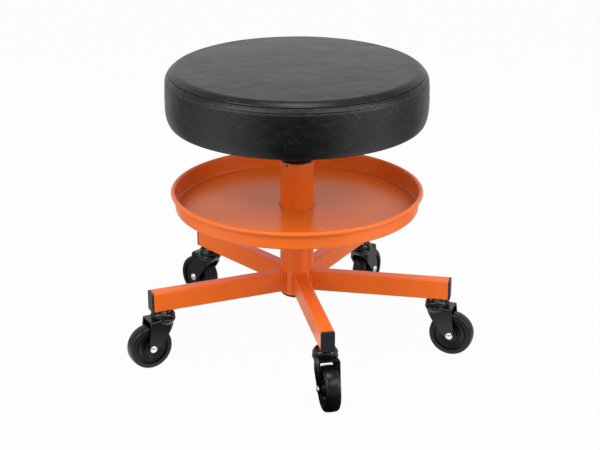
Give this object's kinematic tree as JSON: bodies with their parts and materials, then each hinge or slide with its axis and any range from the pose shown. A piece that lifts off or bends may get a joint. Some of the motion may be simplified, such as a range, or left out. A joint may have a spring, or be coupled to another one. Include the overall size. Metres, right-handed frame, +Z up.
{
  "type": "rolling workshop seat",
  "caption": "Low rolling workshop seat: round padded seat on a swivelling gas-lift column, a round tool tray round the column, and a star base on swivel casters.",
  "frame": {"origin": "on the column's axis, on the floor that the wheels stand on", "axes": "+Z up along the column; the front leg points along -Y, within 3 degrees, and the height lever along +Y"},
  "size_m": [0.513, 0.4935, 0.4305],
  "materials": {
    "vinyl": "black grained vinyl, satin",
    "foam": "open-cell foam",
    "plywood": "raw plywood",
    "dust_cloth": "black nonwoven cloth",
    "powder_coat": "orange powder coat, satin gloss",
    "black_paint": "black paint, satin gloss",
    "black_plastic": "moulded black plastic",
    "wheel_plastic": "hard black wheel plastic",
    "bare_steel": "bare steel",
    "zinc": "bright zinc plating",
    "chrome": "hard chrome",
    "rubber": "black rubber"
  },
  "bodies": {
    "base": {"column_tube": "powder_coat", "column_foot_disc": "bare_steel", "column_end_cap": "black_plastic", "guide_bush": "black_plastic", "tool_tray": "powder_coat", "tray_collar": "powder_coat", "foot_washer_lower": "bare_steel", "foot_balls": "chrome", "caster_stems": "zinc", "stem_nuts": "bare_steel", "swivel_balls": "chrome", "leg_1": "powder_coat", "leg_cap_1": "black_plastic", "caster_cup_1": "black_paint", "leg_2": "powder_coat", "leg_cap_2": "black_plastic", "caster_cup_2": "black_paint", "leg_3": "powder_coat", "leg_cap_3": "black_plastic", "caster_cup_3": "black_paint", "leg_4": "powder_coat", "leg_cap_4": "black_plastic", "caster_cup_4": "black_paint", "leg_5": "powder_coat", "leg_cap_5": "black_plastic", "caster_cup_5": "black_paint"},
    "gas_rod": {"piston_rod": "chrome", "rod_clip": "bare_steel", "foot_washer_upper": "bare_steel", "rod_buffer": "rubber"},
    "seat": {"gas_cylinder": "black_paint", "seat_bracket": "black_paint", "taper_socket": "black_paint", "lever_pivot_pin": "zinc", "seat_board": "plywood", "seat_foam": "foam", "seat_side_band": "vinyl", "seat_top_panel": "vinyl", "seat_dust_cover": "dust_cloth", "seat_bolts": "zinc", "seat_t_nuts": "zinc"},
    "lever": {"height_lever": "black_paint", "lever_grip": "black_plastic"},
    "valve_pin": {"valve_pin": "bare_steel"},
    "fork_1": {"caster_fork_1": "black_paint", "caster_axle_1": "zinc"},
    "wheel_1": {"caster_wheel_1": "wheel_plastic"},
    "fork_2": {"caster_fork_2": "black_paint", "caster_axle_2": "zinc"},
    "wheel_2": {"caster_wheel_2": "wheel_plastic"},
    "fork_3": {"caster_fork_3": "black_paint", "caster_axle_3": "zinc"},
    "wheel_3": {"caster_wheel_3": "wheel_plastic"},
    "fork_4": {"caster_fork_4": "black_paint", "caster_axle_4": "zinc"},
    "wheel_4": {"caster_wheel_4": "wheel_plastic"},
    "fork_5": {"caster_fork_5": "black_paint", "caster_axle_5": "zinc"},
    "wheel_5": {"caster_wheel_5": "wheel_plastic"}
  },
  "joints": [
    {"name": "seat_swivel", "type": "hinge", "parent": "base", "child": "gas_rod", "pos_m": [0, 0, 0.0991], "axis": [0, 0, 1], "continuous": true},
    {"name": "seat_lift", "type": "slide", "parent": "gas_rod", "child": "seat", "axis": [0, 0, 1], "range_m": [0, 0.12]},
    {"name": "lever_pull", "type": "hinge", "parent": "seat", "child": "lever", "pos_m": [0, 0.028, 0.3415], "axis": [1, 0, 0], "range_deg": [0, 5], "stiffness_Nm_per_rad": 1.5, "springref_deg": -5.73},
    {"name": "valve_press", "type": "slide", "parent": "seat", "child": "valve_pin", "axis": [0, 0, -1], "range_m": [0, 0.0026]},
    {"name": "caster_swivel_1", "type": "hinge", "parent": "base", "child": "fork_1", "pos_m": [0.00964, -0.21228, 0.077], "axis": [0, 0, 1], "continuous": true},
    {"name": "wheel_roll_1", "type": "hinge", "parent": "fork_1", "child": "wheel_1", "pos_m": [0.01156, -0.2352, 0.033], "axis": [0.9965, 0.0837, 0], "continuous": true},
    {"name": "caster_swivel_2", "type": "hinge", "parent": "base", "child": "fork_2", "pos_m": [0.20128, -0.06813, 0.077], "axis": [0, 0, 1], "continuous": true},
    {"name": "wheel_roll_2", "type": "hinge", "parent": "fork_2", "child": "wheel_2", "pos_m": [0.22146, -0.07917, 0.033], "axis": [0.4802, 0.8771, 0], "continuous": true},
    {"name": "caster_swivel_3", "type": "hinge", "parent": "base", "child": "fork_3", "pos_m": [0.12759, 0.16993, 0.077], "axis": [0, 0, 1], "continuous": true},
    {"name": "wheel_roll_3", "type": "hinge", "parent": "fork_3", "child": "wheel_3", "pos_m": [0.14194, 0.18791, 0.033], "axis": [-0.7815, 0.6239, 0], "continuous": true},
    {"name": "caster_swivel_4", "type": "hinge", "parent": "base", "child": "fork_4", "pos_m": [-0.11636, 0.17781, 0.077], "axis": [0, 0, 1], "continuous": true},
    {"name": "wheel_roll_4", "type": "hinge", "parent": "fork_4", "child": "wheel_4", "pos_m": [-0.13117, 0.19541, 0.033], "axis": [-0.7649, -0.6441, 0], "continuous": true},
    {"name": "caster_swivel_5", "type": "hinge", "parent": "base", "child": "fork_5", "pos_m": [-0.20536, -0.05464, 0.077], "axis": [0, 0, 1], "continuous": true},
    {"name": "wheel_roll_5", "type": "hinge", "parent": "fork_5", "child": "wheel_5", "pos_m": [-0.2267, -0.06322, 0.033], "axis": [0.373, -0.9278, 0], "continuous": true}
  ],
  "couplings": [
    {"joint": "valve_press", "follows": "lever_pull", "m_per_rad": 0.028}
  ]
}
